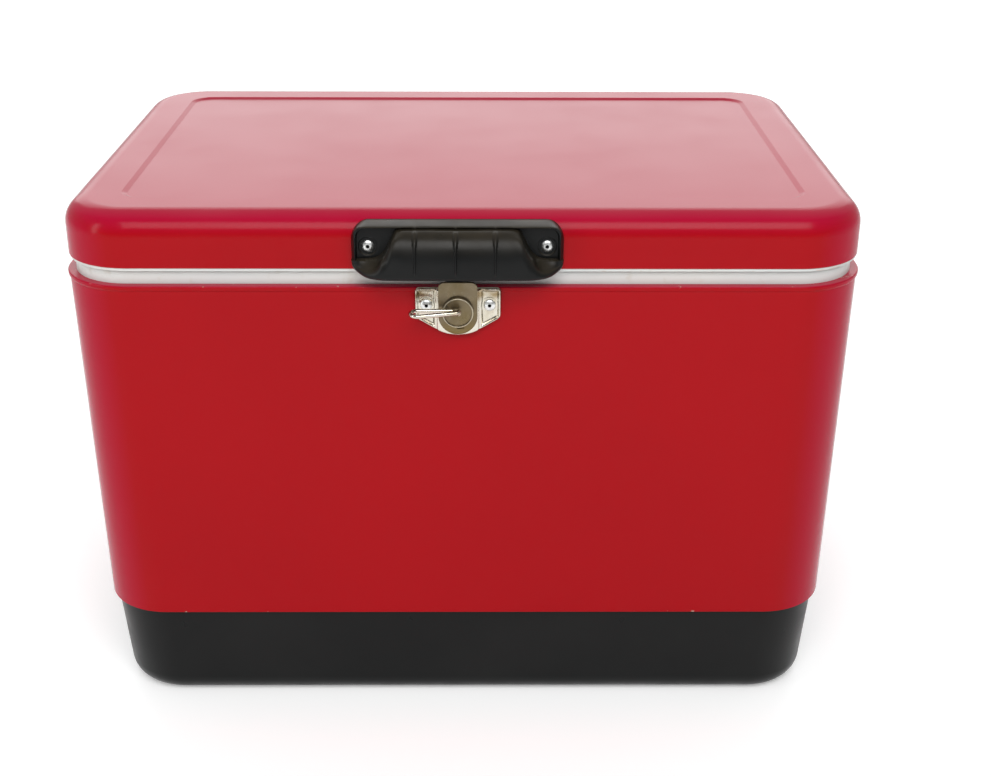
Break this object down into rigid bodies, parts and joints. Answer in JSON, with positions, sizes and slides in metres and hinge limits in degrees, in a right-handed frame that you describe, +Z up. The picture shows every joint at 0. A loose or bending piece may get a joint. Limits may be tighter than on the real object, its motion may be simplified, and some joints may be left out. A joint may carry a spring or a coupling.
{
  "type": "cooler chest",
  "caption": "Insulated picnic cooler chest: painted steel belt in a moulded base, hinged lid with moulded handle, turning bail latch, swinging side handles.",
  "frame": {"origin": "on the floor at the centre of the base tray's footprint", "axes": "+X to the right along the long front, -Y to the front where the latch is, +Z up"},
  "size_m": [0.6618, 0.4586, 0.4315],
  "materials": {
    "red_paint": "gloss",
    "black_moulding": "satin",
    "white_moulding": "satin",
    "nickel_plate": "satin",
    "dull_nickel": "satin",
    "zinc_steel": "satin",
    "rivet_metal": "satin",
    "seal_rubber": "matte",
    "foam": "matte"
  },
  "bodies": {
    "chest": {"base_tray": "black_moulding", "body_shell": "red_paint", "body_foam": "foam", "inner_liner": "white_moulding", "latch_plate": "nickel_plate", "latch_cover": "dull_nickel", "latch_rivets": "rivet_metal", "hinge_body_leaf_left": "zinc_steel", "hinge_body_leaf_right": "zinc_steel", "hinge_pin_left": "zinc_steel", "hinge_pin_right": "zinc_steel", "hinge_body_rivets": "rivet_metal", "bracket_left_front": "zinc_steel", "bracket_left_back": "zinc_steel", "bracket_right_front": "zinc_steel", "bracket_right_back": "zinc_steel", "bracket_rivets": "rivet_metal", "drain_spout": "black_moulding", "drain_nut": "white_moulding"},
    "lid": {"lid_shell": "red_paint", "lid_foam": "foam", "lid_liner": "white_moulding", "lid_seal": "seal_rubber", "lid_handle": "black_moulding", "handle_rivets": "rivet_metal", "latch_strike": "zinc_steel", "strike_rivets": "rivet_metal", "hinge_lid_leaf_left": "zinc_steel", "hinge_lid_leaf_right": "zinc_steel", "hinge_lid_rivets": "rivet_metal"},
    "latch_turn": {"latch_disc": "dull_nickel", "latch_spindle": "dull_nickel", "latch_cam": "dull_nickel", "spring_washer": "zinc_steel", "bail_pin": "dull_nickel"},
    "latch_bail": {"latch_bail": "nickel_plate"},
    "side_handle_left": {"side_bail_left": "nickel_plate", "side_grip_left": "black_moulding"},
    "side_handle_right": {"side_bail_right": "nickel_plate", "side_grip_right": "black_moulding"},
    "drain_plug": {"drain_plug": "seal_rubber"}
  },
  "joints": [
    {"name": "lid_open", "type": "hinge", "parent": "chest", "child": "lid", "pos_m": [0, 0.217, 0.3835], "axis": [-1, 0, 0], "range_deg": [0, 100]},
    {"name": "latch_quarter_turn", "type": "hinge", "parent": "chest", "child": "latch_turn", "pos_m": [-0.004, -0.2125, 0.3584], "axis": [0, -1, 0], "range_deg": [0, 90]},
    {"name": "bail_swing", "type": "hinge", "parent": "latch_turn", "child": "latch_bail", "pos_m": [-0.0056, -0.2263, 0.3614], "axis": [0, 0, 1], "range_deg": [0, 90]},
    {"name": "left_handle_lift", "type": "hinge", "parent": "chest", "child": "side_handle_left", "pos_m": [-0.31892, 0, 0.317], "axis": [0, 1, 0], "range_deg": [0, 100]},
    {"name": "right_handle_lift", "type": "hinge", "parent": "chest", "child": "side_handle_right", "pos_m": [0.31892, 0, 0.317], "axis": [0, -1, 0], "range_deg": [0, 100]},
    {"name": "drain_plug_pull", "type": "slide", "parent": "chest", "child": "drain_plug", "axis": [1, 0, 0], "range_m": [0, 0.016]}
  ]
}
